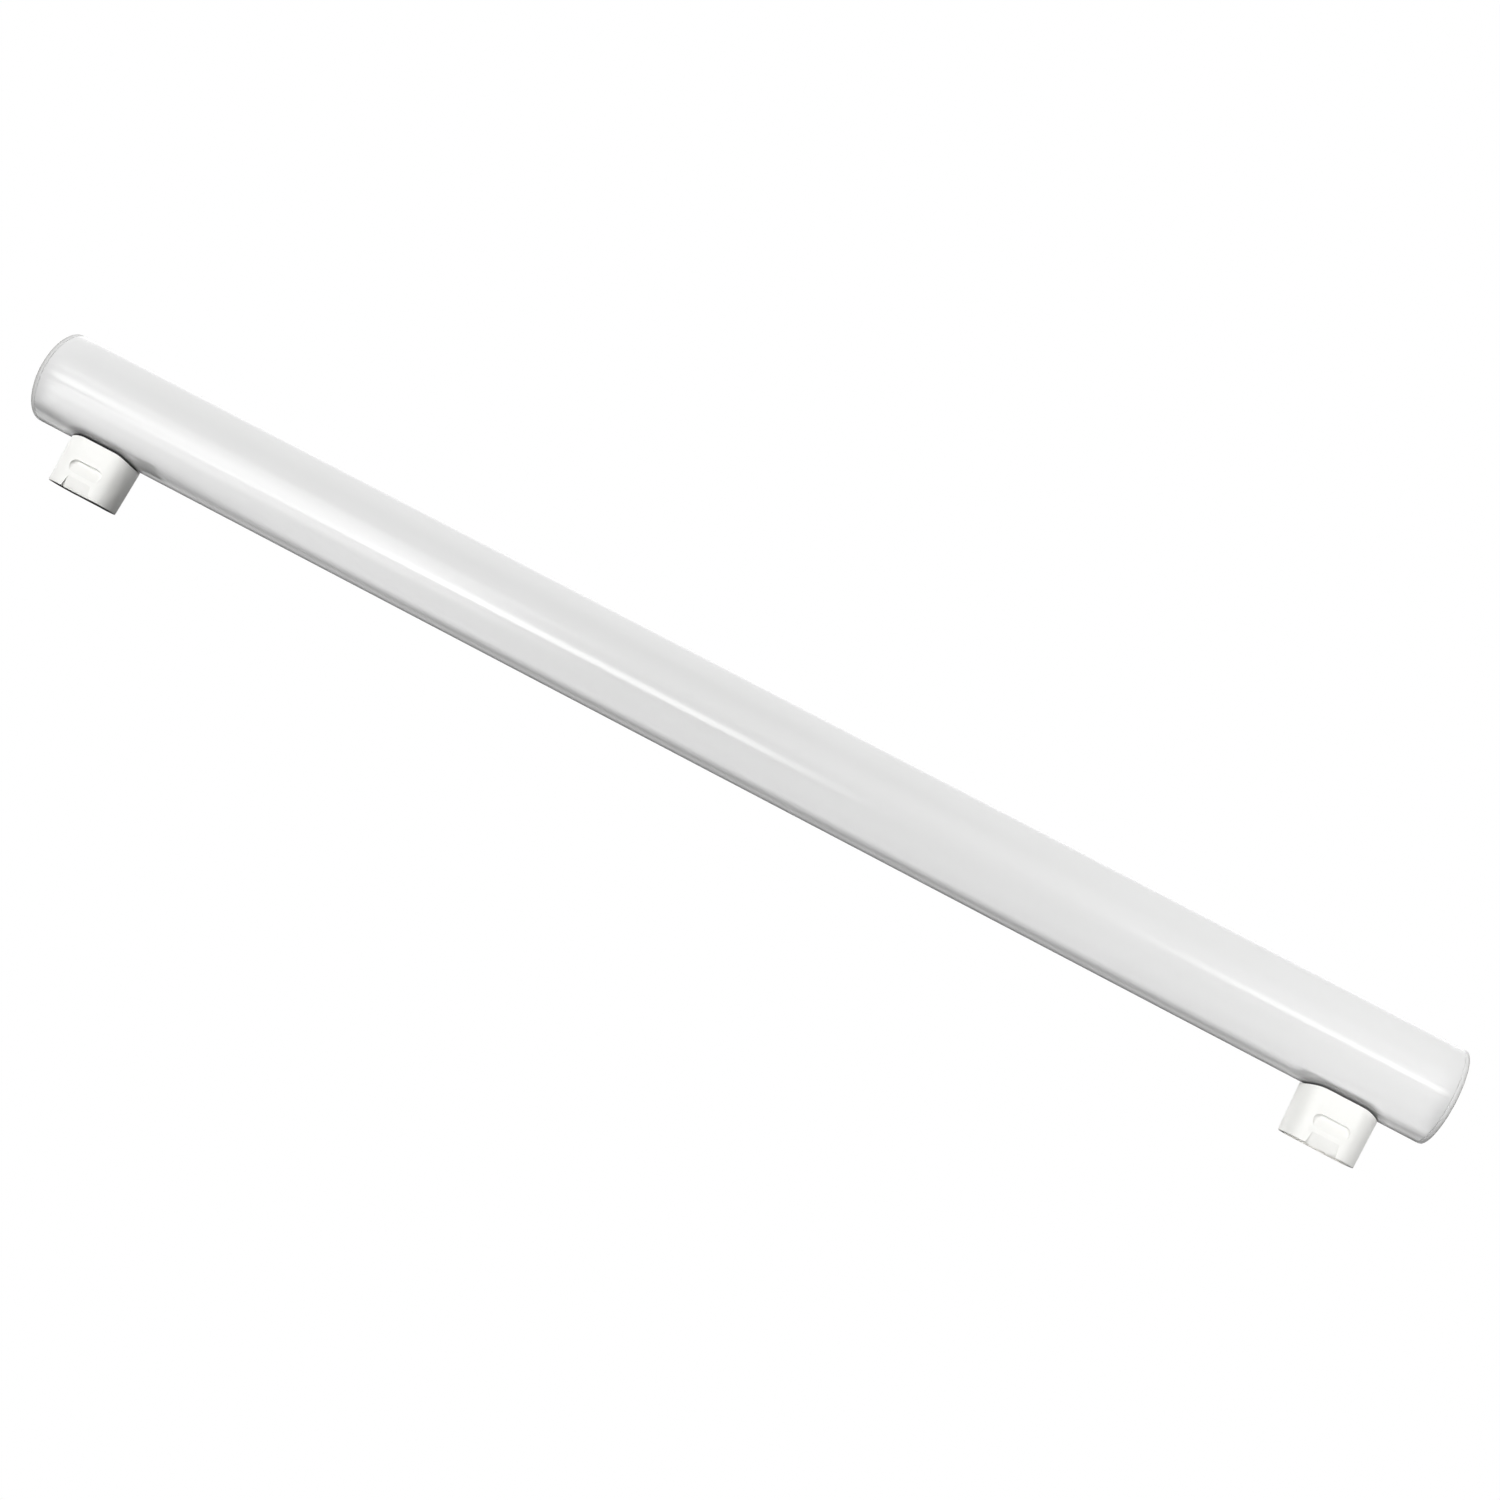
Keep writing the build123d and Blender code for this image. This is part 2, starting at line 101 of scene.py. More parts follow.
def carve(piece, tool, operation="DIFFERENCE"):
    finishWith(piece, "BOOLEAN", operation=operation, solver="EXACT", object=tool)
    bpy.data.objects.remove(tool, do_unlink=True)


def cleanMesh(piece):
    soloSelect(piece)
    bpy.ops.object.mode_set(mode="EDIT")
    bpy.ops.mesh.select_all(action="SELECT")
    bpy.ops.mesh.remove_doubles(threshold=mergeGap)
    bpy.ops.mesh.dissolve_degenerate(threshold=mergeGap)
    bpy.ops.mesh.normals_make_consistent(inside=False)
    bpy.ops.object.mode_set(mode="OBJECT")


def softShade(piece, angle=30):
    soloSelect(piece)
    bpy.ops.object.shade_smooth_by_angle(angle=radians(angle))


def steadyNormals(piece):  # flats stay flat beside their rounded edges
    finishWith(piece, "WEIGHTED_NORMAL", mode="FACE_AREA", weight=50, keep_sharp=True)


def copyOf(piece, name):  # a copy with its own mesh
    twin = piece.copy()
    twin.data = piece.data.copy()
    twin.name = name
    twin.data.name = name
    bpy.context.collection.objects.link(twin)
    return twin


def addBlock(lows, highs):
    middle = [(low + high) / 2 for low, high in zip(lows, highs)]
    spans = [high - low for low, high in zip(lows, highs)]
    bpy.ops.object.select_all(action="DESELECT")
    bpy.ops.mesh.primitive_cube_add(size=1, location=middle)
    block = bpy.context.object
    block.scale = spans
    fixPlace(block)
    return block


def addOblong(length, width, low, high, topWidth=None, sides=96):  # upright, with round ends
    bpy.ops.object.select_all(action="DESELECT")
    bpy.ops.mesh.primitive_cone_add(
        vertices=sides,
        radius1=width / 2,
        radius2=(topWidth or width) / 2,
        depth=high - low,
        end_fill_type="NGON",
        location=(0, 0, (low + high) / 2),
        rotation=(0, 0, pi / sides),
    )
    block = bpy.context.object
    fixPlace(block)
    stretch = (length - width) / 2
    for side in (1, -1):
        pick(block, "VERT", lambda spot: spot.x * side > 0)
        bpy.ops.transform.translate(value=(side * stretch, 0, 0))
        bpy.ops.object.mode_set(mode="OBJECT")
    return block


def addBarrel(radius, start, end, sides, fill="NGON"):  # a cylinder along the lamp, on the tube's axis
    bpy.ops.object.select_all(action="DESELECT")
    bpy.ops.mesh.primitive_cylinder_add(
        vertices=sides,
        radius=radius,
        depth=end - start,
        end_fill_type=fill,
        location=((start + end) / 2, 0, axisHeight),
        rotation=(0, pi / 2, 0),
    )
    barrel = bpy.context.object
    fixPlace(barrel)
    return barrel


def fromAxis(spot):
    return (spot.y**2 + (spot.z - axisHeight) ** 2) ** 0.5


def moveTo(piece, x):
    piece.location.x = x
    fixPlace(piece)


# Opal tube: thin wall, eased end edges, a cut-out underneath for each peg's neck
opalTube = {
    "wall": 1.2 * mm,
    "sides": 192,
    "easedEdge": 0.15 * mm,
    "easedSteps": 3,
    "cutOutLength": 18.3 * mm,
    "cutOutWidth": 7.3 * mm,
    "cutOutReach": 16 * mm,
}


def buildTube():
    tube = addBarrel(tubeRadius, -tubeEnd, tubeEnd, opalTube["sides"], "NOTHING")
    tube.name = "opalTube"
    reach = opalTube["cutOutReach"]
    for line in (-pegPlace - reach, -pegPlace + reach, pegPlace - reach, pegPlace + reach):
        pick(tube, "FACE", lambda middle, facing: True)
        bpy.ops.mesh.bisect(plane_co=(line, 0, 0), plane_no=(1, 0, 0))
        bpy.ops.object.mode_set(mode="OBJECT")
    finishWith(tube, "SOLIDIFY", thickness=opalTube["wall"], offset=-1)
    rim = tubeRadius - opalTube["wall"] / 2
    pick(
        tube,
        "EDGE",
        lambda start, end: min(abs(start.x), abs(end.x)) > tubeEnd - nearly
        and min(fromAxis(start), fromAxis(end)) > rim,
    )
    bpy.ops.mesh.bevel(offset=opalTube["easedEdge"], segments=opalTube["easedSteps"], affect="EDGES")
    bpy.ops.object.mode_set(mode="OBJECT")
    for side in (1, -1):
        cutter = addOblong(opalTube["cutOutLength"], opalTube["cutOutWidth"], 0, axisHeight)
        moveTo(cutter, side * pegPlace)
        carve(tube, cutter)
    cleanMesh(tube)
    softShade(tube)
    return tube


# End cap: rim with an eased edge, hollow spigot, two shelves for the rail's tongue
endCap = {
    "rim": 1.5 * mm,
    "rounding": 0.4 * mm,
    "roundingSteps": 12,
    "seamEdge": 0.15 * mm,
    "seamSteps": 3,
    "spigotRadius": 14.575 * mm,
    "spigotLength": 7 * mm,
    "spigotWall": 1.2 * mm,
    "shelf": 1.4 * mm,
    "shelfReach": 13.2 * mm,
    "shelfRoot": 0.2 * mm,
    "shelfHeights": (2.7 * mm, -0.5 * mm),
    "sides": 192,
}


def buildCap():
    rimEnd = tubeEnd + endCap["rim"]
    cap = addBarrel(tubeRadius, tubeEnd, rimEnd, endCap["sides"])
    cap.name = "rightEndCap"
    pick(cap, "EDGE", lambda start, end: min(start.x, end.x) > rimEnd - nearly)
    bpy.ops.mesh.bevel(offset=endCap["rounding"], segments=endCap["roundingSteps"], affect="EDGES")
    bpy.ops.object.mode_set(mode="OBJECT")
    pick(cap, "EDGE", lambda start, end: max(start.x, end.x) < tubeEnd + nearly)
    bpy.ops.mesh.bevel(offset=endCap["seamEdge"], segments=endCap["seamSteps"], affect="EDGES")
    bpy.ops.object.mode_set(mode="OBJECT")
    pick(cap, "FACE", lambda middle, facing: facing.x < -0.99)
    bpy.ops.mesh.inset(thickness=tubeRadius - endCap["seamEdge"] - endCap["spigotRadius"])
    spigot = endCap["spigotLength"]
    bpy.ops.mesh.extrude_region_move(TRANSFORM_OT_translate={"value": (-spigot, 0, 0)})
    bpy.ops.mesh.inset(thickness=endCap["spigotWall"])
    bpy.ops.mesh.extrude_region_move(TRANSFORM_OT_translate={"value": (spigot, 0, 0)})
    bpy.ops.object.mode_set(mode="OBJECT")
    for height in endCap["shelfHeights"]:
        low = axisHeight + height
        shelf = addBlock(
            (tubeEnd - spigot, -endCap["shelfReach"], low),
            (tubeEnd + endCap["shelfRoot"], endCap["shelfReach"], low + endCap["shelf"]),
        )
        carve(cap, shelf, "UNION")
    cleanMesh(cap)
    softShade(cap)
    steadyNormals(cap)
    return cap


# Peg: drafted oblong with a saddle for the tube, snap recess and notch on both flats,
# hooked neck, hollow for the contact and its lead
peg = {
    "length": 24.7 * mm,
    "width": 13.8 * mm,
    "draft": 1.2,
    "height": 20 * mm,
    "endRounding": 0.3 * mm,
    "endSteps": 10,
    "saddleRadius": 16.3 * mm,
    "saddleSides": 256,
    "softEdge": 0.22 * mm,
    "softSteps": 3,
    "softAngle": 12,
    "smoothAngle": 40,
    "neckLength": 18 * mm,
    "neckWidth": 7 * mm,
    "neckTop": 19.625 * mm,
    "hookReach": 1.2 * mm,
    "hookWidth": 5 * mm,
    "hookUnderside": 17.725 * mm,
    "slitPlace": 5.5 * mm,
    "slitWidth": 1 * mm,
    "slitFloor": 16.625 * mm,
    "wellLength": 20.6 * mm,
    "wellWidth": 9.6 * mm,
    "wellDepth": 1.6 * mm,
    "cavityLength": 18.2 * mm,
    "cavityWidth": 7.2 * mm,
    "cavityTop": 12 * mm,
    "passageLength": 12 * mm,
    "passageWidth": 3.6 * mm,
    "passageSides": 48,
    "overrun": 1 * mm,
}
snapRecess = {
    "width": 12.5 * mm,
    "top": 10 * mm,
    "bottom": 5.6 * mm,
    "depth": 1.7 * mm,
    "corner": 2.7 * mm,
    "cornerSteps": 12,
    "cove": 1.7 * mm,
    "coveSteps": 8,
    "overrun": 0.6 * mm,
}
leadInNotch = {
    "endWidth": 10.2 * mm,
    "topWidth": 8.8 * mm,
    "height": 4 * mm,
    "depth": 1.1 * mm,
    "overrun": 1 * mm,
}


def flatAt(height):  # how far a flat is from the peg's middle
    return peg["width"] / 2 + height * tan(radians(peg["draft"]))


def addRecessCutter():
    top, bottom = snapRecess["top"], snapRecess["bottom"]
    half = snapRecess["width"] / 2
    deep = snapRecess["depth"] - flatAt(top)
    slope = (deep + flatAt(bottom)) / (top - bottom)
    low = bottom - snapRecess["overrun"]
    cutter = addBlock((-half, -peg["width"], low), (half, deep, top))
    pick(cutter, "VERT", lambda spot: spot.y > -flatAt(0) and spot.z < bottom)
    bpy.ops.transform.translate(value=(0, -slope * (top - low), 0))
    bpy.ops.object.mode_set(mode="OBJECT")
    pick(
        cutter,
        "EDGE",
        lambda start, end: min(start.z, end.z) > bottom and abs(start.x - end.x) < nearly,
    )
    bpy.ops.mesh.bevel(offset=snapRecess["corner"], segments=snapRecess["cornerSteps"], affect="EDGES")
    bpy.ops.object.mode_set(mode="OBJECT")

    def onBack(spot):  # on the sloping back of the recess
        return abs(spot.y - deep + slope * (top - spot.z)) < nearly

    pick(
        cutter,
        "EDGE",
        lambda start, end: onBack(start) and onBack(end) and max(start.z, end.z) > bottom,
    )
    bpy.ops.mesh.bevel(offset=snapRecess["cove"], segments=snapRecess["coveSteps"], affect="EDGES")
    bpy.ops.object.mode_set(mode="OBJECT")
    return cutter


def addNotchCutter():
    over = leadInNotch["overrun"]
    height = leadInNotch["height"]
    narrowing = (leadInNotch["endWidth"] - leadInNotch["topWidth"]) / 2 / height
    slope = (leadInNotch["depth"] - flatAt(0) + flatAt(height)) / height
    half = leadInNotch["endWidth"] / 2 + narrowing * over
    deep = leadInNotch["depth"] - flatAt(0) + slope * over
    rise = height + 2 * over
    cutter = addBlock((-half, -peg["width"], -over), (half, deep, height + over))
    pick(cutter, "VERT", lambda spot: spot.z > height and spot.y > -flatAt(0))
    bpy.ops.transform.translate(value=(0, -slope * rise, 0))
    bpy.ops.object.mode_set(mode="OBJECT")
    for side in (1, -1):
        pick(cutter, "VERT", lambda spot: spot.z > height and spot.x * side > 0)
        bpy.ops.transform.translate(value=(-side * narrowing * rise, 0, 0))
        bpy.ops.object.mode_set(mode="OBJECT")
    return cutter


def turnRound(piece):  # half a turn about the upright through the origin
    piece.rotation_euler.z = pi
    fixPlace(piece)


def buildPeg():
    topWidth = 2 * flatAt(peg["height"])
    below = -peg["overrun"]
    above = peg["neckTop"] + peg["overrun"]
    body = addOblong(peg["length"], peg["width"], 0, peg["height"], topWidth)
    body.name = "rightPeg"
    pick(body, "EDGE", lambda start, end: max(start.z, end.z) < nearly)
    bpy.ops.mesh.bevel(offset=peg["endRounding"], segments=peg["endSteps"], affect="EDGES")
    bpy.ops.object.mode_set(mode="OBJECT")
    carve(body, addBarrel(peg["saddleRadius"], -peg["length"], peg["length"], peg["saddleSides"]))
    for addCutter in (addRecessCutter, addNotchCutter):
        carve(body, addCutter())
        farCutter = addCutter()
        turnRound(farCutter)
        carve(body, farCutter)
    cleanMesh(body)
    finishWith(
        body,
        "BEVEL",
        width=peg["softEdge"],
        segments=peg["softSteps"],
        limit_method="ANGLE",
        angle_limit=radians(peg["softAngle"]),
    )
    cleanMesh(body)
    neck = addOblong(peg["neckLength"], peg["neckWidth"], peg["cavityTop"], peg["neckTop"])
    hookEnd = peg["neckLength"] / 2 + peg["hookReach"]
    hooks = addBlock(
        (-hookEnd, -peg["hookWidth"] / 2, peg["hookUnderside"]),
        (hookEnd, peg["hookWidth"] / 2, peg["neckTop"]),
    )
    pick(
        hooks,
        "EDGE",
        lambda start, end: min(start.z, end.z) > peg["hookUnderside"] + nearly
        and abs(start.x - end.x) < nearly,
    )
    bpy.ops.mesh.bevel(offset=peg["hookReach"], segments=1, affect="EDGES")
    bpy.ops.object.mode_set(mode="OBJECT")
    carve(neck, hooks, "UNION")
    for side in (1, -1):
        middle = side * peg["slitPlace"]
        slit = addBlock(
            (middle - peg["slitWidth"] / 2, -peg["neckWidth"], peg["slitFloor"]),
            (middle + peg["slitWidth"] / 2, peg["neckWidth"], above),
        )
        carve(neck, slit)
    carve(body, neck, "UNION")
    carve(body, addOblong(peg["wellLength"], peg["wellWidth"], below, peg["wellDepth"]))
    carve(body, addOblong(peg["cavityLength"], peg["cavityWidth"], below, peg["cavityTop"]))
    passage = addOblong(
        peg["passageLength"], peg["passageWidth"], below, above, sides=peg["passageSides"]
    )
    carve(body, passage)
    cleanMesh(body)
    softShade(body, peg["smoothAngle"])
    steadyNormals(body)
    return body


tube = buildTube()
print("tube", len(tube.data.polygons), "faces")

rightCap = buildCap()
leftCap = copyOf(rightCap, "leftEndCap")
turnRound(leftCap)
print("end caps", len(rightCap.data.polygons), "faces each")

rightPeg = buildPeg()
leftPeg = copyOf(rightPeg, "leftPeg")
moveTo(rightPeg, pegPlace)
moveTo(leftPeg, -pegPlace)
print("pegs", len(rightPeg.data.polygons), "faces each")

for piece, node, slot in (
    (tube, "tube", "opal"),
    (leftCap, "left_end_cap", "cap"),
    (rightCap, "right_end_cap", "cap"),
    (leftPeg, "left_peg", "peg"),
    (rightPeg, "right_peg", "peg"),
):
    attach(piece, "root")
    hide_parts(node)


# Shader maths: a wire is a socket that sums and products can be written with
class Wire:
    def __init__(self, tree, socket):
        self.tree = tree
        self.socket = socket

    def maths(self, operation, first, second=0.0):
        return addNode(self.tree, "ShaderNodeMath", {"operation": operation}, {0: first, 1: second})

    def __add__(self, other):
        return self.maths("ADD", self, other)

    def __radd__(self, other):
        return self.maths("ADD", other, self)

    def __sub__(self, other):
        return self.maths("SUBTRACT", self, other)

    def __rsub__(self, other):
        return self.maths("SUBTRACT", other, self)

    def __mul__(self, other):
        return self.maths("MULTIPLY", self, other)

    def __rmul__(self, other):
        return self.maths("MULTIPLY", other, self)

    def __truediv__(self, other):
        return self.maths("DIVIDE", self, other)

    def __mod__(self, other):
        return self.maths("FLOORED_MODULO", self, other)

    def __gt__(self, other):
        return self.maths("GREATER_THAN", self, other)

    def __lt__(self, other):
        return self.maths("LESS_THAN", self, other)

    def __pow__(self, other):
        return self.maths("POWER", self, other)

    def __abs__(self):
        return self.maths("ABSOLUTE", self)


def addNode(tree, kind, settings=None, inputs=None, output=0):
    node = tree.nodes.new(kind)
    for name, value in (settings or {}).items():
        if name == "stops":
            while len(node.color_ramp.elements) < len(value):
                node.color_ramp.elements.new(1.0)
            for element, (position, colour) in zip(node.color_ramp.elements, value):
                element.position = position
                element.color = colour
        else:
            setattr(node, name, value)
    for key, value in (inputs or {}).items():
        if isinstance(value, Wire):
            tree.links.new(value.socket, node.inputs[key])
        else:
            node.inputs[key].default_value = value
    return Wire(tree, node.outputs[output])


def mixColours(tree, factor, first, second):
    return addNode(tree, "ShaderNodeMix", {"data_type": "RGBA"}, {0: factor, 6: first, 7: second}, 2)


def smoothStep(tree, value, low, high):
    settings = {"interpolation_type": "SMOOTHSTEP"}
    return addNode(tree, "ShaderNodeMapRange", settings, {0: value, 1: low, 2: high})


def objectSpot(tree):
    return addNode(tree, "ShaderNodeTexCoord", output="Object")


def splitSpot(tree, spot):
    return [addNode(tree, "ShaderNodeSeparateXYZ", None, {0: spot}, axis) for axis in range(3)]


def grain(tree, spot, size, stretch=(1, 1, 1), detail=2.0):  # noise with features of that size
    place = addNode(tree, "ShaderNodeMapping", {"vector_type": "POINT"}, {0: spot, 3: stretch})
    return addNode(
        tree, "ShaderNodeTexNoise", None, {"Vector": place, "Scale": 1 / size, "Detail": detail}
    )


def bump(tree, height, strength, distance):
    return addNode(
        tree, "ShaderNodeBump", None, {"Height": height, "Strength": strength, "Distance": distance}
    )


def newMaterial(name):
    material = bpy.data.materials.new(name)
    material.use_nodes = True
    tree = material.node_tree
    shader = tree.nodes["Principled BSDF"]
    return material, tree, shader


def feed(tree, shader, **inputs):
    for name, value in inputs.items():
        socket = shader.inputs[name.replace("_", " ")]
        if isinstance(value, Wire):
            tree.links.new(value.socket, socket)
        else:
            socket.default_value = value


plasticIor = 1.5
grainDepth = 0.03 * mm
fineDetail = 3.0


# Opal of the tube: cool off-white, glossy, with faint draw lines, an uneven seam at each end
# and a painted contact shade round each peg
opalLook = {
    "colour": (0.706, 0.707, 0.708, 1),
    "deepColour": (0.682, 0.683, 0.678, 1),
    "roughness": 0.14,
    "spread": 0.04,
    "cloudSize": 45 * mm,
    "drawLineSize": 0.9 * mm,
    "drawLineStretch": (0.01, 1, 1),
    "drawLineRelief": 0.06,
    "drawLineDepth": 0.02 * mm,
    "seamColour": (0.50, 0.50, 0.50, 1),
    "seamRange": (0.05 * mm, 0.4 * mm),
    "seamMix": 0.4,
    "seamRoughness": 0.15,
    "wanderSize": 2.2 * mm,
    "wanderReach": 0.5 * mm,
    "paintedContactShade": (0.015, 0.015, 0.015, 1),
    "shadeReach": 3.8 * mm,
    "shadeDepth": (0.95, 0.65),
    "pegStraight": 5.45 * mm,
    "pegRadius": 7.27 * mm,
}


def opalMaterial():
    material, tree, shader = newMaterial("opal")
    spot = objectSpot(tree)
    x, y, z = splitSpot(tree, spot)
    cloud = grain(tree, spot, opalLook["cloudSize"])
    lines = grain(tree, spot, opalLook["drawLineSize"], opalLook["drawLineStretch"])
    wander = grain(tree, spot, opalLook["wanderSize"], detail=fineDetail)
    wander = (wander - 0.5) * opalLook["wanderReach"]
    colour = mixColours(tree, cloud, opalLook["deepColour"], opalLook["colour"])
    fromEnd = tubeEnd - abs(x)
    seam = 1 - smoothStep(tree, fromEnd - wander, *opalLook["seamRange"])
    colour = mixColours(tree, seam * opalLook["seamMix"], colour, opalLook["seamColour"])
    # Painted shade: below the axis the base colour darkens within a few millimetres of each peg, more at
    # the left peg than at the right one
    past = abs(abs(x) - pegPlace) - opalLook["pegStraight"]
    past = past.maths("MAXIMUM", past, 0.0)
    fromPeg = (past**2 + y**2) ** 0.5 - opalLook["pegRadius"]
    shade = (1 - smoothStep(tree, fromPeg, 0.0, opalLook["shadeReach"])) * (z < axisHeight)
    leftDepth, rightDepth = opalLook["shadeDepth"]
    depth = leftDepth + (x > 0) * (rightDepth - leftDepth)
    colour = mixColours(tree, shade * depth, colour, opalLook["paintedContactShade"])
    roughness = opalLook["roughness"] + (cloud - 0.5) * opalLook["spread"]
    feed(
        tree,
        shader,
        Base_Color=colour,
        Roughness=roughness + seam * opalLook["seamRoughness"],
        Normal=bump(tree, lines, opalLook["drawLineRelief"], opalLook["drawLineDepth"]),
        IOR=plasticIor,
    )
    return material


# Moulded plastic of the end caps, with painted shade greying them towards the outer edge
capLook = {
    "colour": (0.665, 0.665, 0.665, 1),
    "shade": (0.635, 0.635, 0.63, 1),
    "paintedRimShade": (0.42, 0.42, 0.41, 1),
    "edgeStart": 0.3 * mm,
    "edgeBand": (1.4 * mm, 0.3 * mm),
    "roughness": 0.48,
    "spread": 0.1,
    "specular": 0.2,
    "cloudSize": 6 * mm,
    "grainSize": 0.35 * mm,
    "relief": 0.08,
}


def capMaterial():
    material, tree, shader = newMaterial("cap")
    spot = objectSpot(tree)
    cloud = grain(tree, spot, capLook["cloudSize"])
    fine = grain(tree, spot, capLook["grainSize"], detail=fineDetail)
    x, y, z = splitSpot(tree, spot)
    # Painted shade: the base colour greys over the rounded outer edge of each cap's rim
    edge = smoothStep(tree, abs(x), tubeEnd + capLook["edgeStart"], tubeEnd + endCap["rim"])
    outward = (y**2 + (z - axisHeight) ** 2) ** 0.5
    inner, outer = capLook["edgeBand"]
    edge = edge * smoothStep(tree, outward, tubeRadius - inner, tubeRadius - outer)
    colour = mixColours(tree, cloud, capLook["shade"], capLook["colour"])
    feed(
        tree,
        shader,
        Base_Color=mixColours(tree, edge, colour, capLook["paintedRimShade"]),
        Roughness=capLook["roughness"] + (fine - 0.5) * capLook["spread"],
        Normal=bump(tree, fine, capLook["relief"], grainDepth),
        Specular_IOR_Level=capLook["specular"],
        IOR=plasticIor,
    )
    return material


# Moulded plastic of the pegs: warm white, satin, with a fine spark-eroded grain
pegLook = {
    "colour": (0.885, 0.885, 0.862, 1),
    "shade": (0.860, 0.858, 0.832, 1),
    "roughness": 0.45,
    "spread": 0.12,
    "cloudSize": 5 * mm,
    "grainSize": 0.22 * mm,
    "relief": 0.12,
}


def pegMaterial():
    material, tree, shader = newMaterial("peg")
    spot = objectSpot(tree)
    cloud = grain(tree, spot, pegLook["cloudSize"])
    fine = grain(tree, spot, pegLook["grainSize"], detail=fineDetail)
    feed(
        tree,
        shader,
        Base_Color=mixColours(tree, cloud, pegLook["shade"], pegLook["colour"]),
        Roughness=pegLook["roughness"] + (fine - 0.5) * pegLook["spread"],
        Normal=bump(tree, fine, pegLook["relief"], grainDepth),
        IOR=plasticIor,
    )
    return material


def wear(piece, material):
    piece.data.materials.clear()
    piece.data.materials.append(material)


wear(tube, opalMaterial())
caps = capMaterial()
wear(leftCap, caps)
wear(rightCap, caps)
pegs = pegMaterial()
wear(leftPeg, pegs)
wear(rightPeg, pegs)
print("outer materials done")


# Finishes of the inner pieces: two close colours, a grain, and in some a mask for what differs
tinned = (0.66, 0.66, 0.64, 1)
boardUnderside = 27.5 * mm
boardTop = 29.1 * mm


def innerLook(name, look, paint=None):
    material, tree, shader = newMaterial(name)
    spot = objectSpot(tree)
    cloud = grain(tree, spot, look["cloudSize"])
    fine = grain(tree, spot, look["grainSize"], look.get("stretch", (1, 1, 1)), fineDetail)
    colour = mixColours(tree, cloud, look["shade"], look["colour"])
    metal = look.get("metal", 0.0)
    if paint:
        colour, metal = paint(tree, splitSpot(tree, spot), colour)
    feed(
        tree,
        shader,
        Base_Color=colour,
        Metallic=metal,
        Roughness=look["roughness"] + (fine - 0.5) * look["spread"],
        Normal=bump(tree, fine, look["relief"], grainDepth),
        IOR=plasticIor,
    )
    return material


def within(value, middle, reach):  # 1 where the value is that near to the middle
    return abs(value - middle) < reach


def repeat(value, pitch, first):  # distance from the nearest of a row of middles
    return (value - (first - pitch / 2)) % pitch - pitch / 2


# Contact plates: nickel plate, with fine scratches along the lamp
contactLook = {
    "colour": (0.74, 0.73, 0.70, 1),
    "shade": (0.68, 0.66, 0.61, 1),
    "cloudSize": 4 * mm,
    "grainSize": 0.12 * mm,
    "stretch": (0.08, 1, 1),
    "roughness": 0.27,
    "spread": 0.16,
    "relief": 0.15,
    "metal": 1.0,
}

# Rail: bare aluminium with the lines of its extrusion
railLook = {
    "colour": (0.78, 0.79, 0.80, 1),
    "shade": (0.72, 0.73, 0.745, 1),
    "cloudSize": 30 * mm,
    "grainSize": 0.25 * mm,
    "stretch": (0.005, 1, 1),
    "roughness": 0.36,
    "spread": 0.18,
    "relief": 0.25,
    "metal": 1.0,
}

# LED board: white mask over the copper's edges, bare metal core at its sides
ledBoard = {
    "colour": (0.84, 0.845, 0.82, 1),
    "shade": (0.80, 0.805, 0.785, 1),
    "copperGap": (0.70, 0.715, 0.70, 1),
    "core": (0.72, 0.72, 0.71, 1),
    "coreTop": 35.7 * mm,
    "copperReach": 3.4 * mm,
    "gap": 0.12 * mm,
    "ledPitch": 12 * mm,
    "cloudSize": 14 * mm,
    "grainSize": 0.2 * mm,
    "roughness": 0.38,
    "spread": 0.1,
    "relief": 0.1,
}


def paintLedBoard(tree, place, colour):
    x, y, z = place
    lengthwise = within(abs(y), ledBoard["copperReach"], ledBoard["gap"])
    between = within(repeat(x, ledBoard["ledPitch"], 0), 0, ledBoard["gap"])
    between = between * (abs(y) < ledBoard["copperReach"])
    gaps = lengthwise.maths("MAXIMUM", lengthwise, between)
    colour = mixColours(tree, gaps, colour, ledBoard["copperGap"])
    core = z < ledBoard["coreTop"]
    return mixColours(tree, core, colour, ledBoard["core"]), core


# LEDs: white package with a yellow window, tinned ends at the board
ledPackage = {
    "colour": (0.86, 0.855, 0.82, 1),
    "shade": (0.83, 0.82, 0.78, 1),
    "phosphor": (0.80, 0.57, 0.10, 1),
    "pitch": 12 * mm,
    "first": 6 * mm,
    "window": (1.25 * mm, 0.95 * mm),
    "windowHeight": 36.45 * mm,
    "endReach": 1.5 * mm,
    "endHeight": 36.1 * mm,
    "cloudSize": 1.2 * mm,
    "grainSize": 0.08 * mm,
    "roughness": 0.34,
    "spread": 0.12,
    "relief": 0.1,
}


def paintLeds(tree, place, colour):
    x, y, z = place
    out = abs(repeat(x, ledPackage["pitch"], ledPackage["first"]))
    window = (out < ledPackage["window"][0]) * (abs(y) < ledPackage["window"][1])
    window = window * (z > ledPackage["windowHeight"])
    colour = mixColours(tree, window, colour, ledPackage["phosphor"])
    ends = (out > ledPackage["endReach"]) * (z < ledPackage["endHeight"])
    return mixColours(tree, ends, colour, tinned), ends


# Screws: zinc plate, with the painted shade of a cross recess in each head
boardScrew = {
    "colour": (0.70, 0.70, 0.69, 1),
    "shade": (0.61, 0.61, 0.585, 1),
    "recess": (0.10, 0.10, 0.10, 1),
    "pitch": 144 * mm,
    "first": 72 * mm,
    "offset": 4.6 * mm,
    "armWidth": 0.32 * mm,
    "armReach": 1.15 * mm,
    "headTop": 37.3 * mm,
    "cloudSize": 1.5 * mm,
    "grainSize": 0.1 * mm,
    "roughness": 0.33,
    "spread": 0.14,
    "relief": 0.12,
}


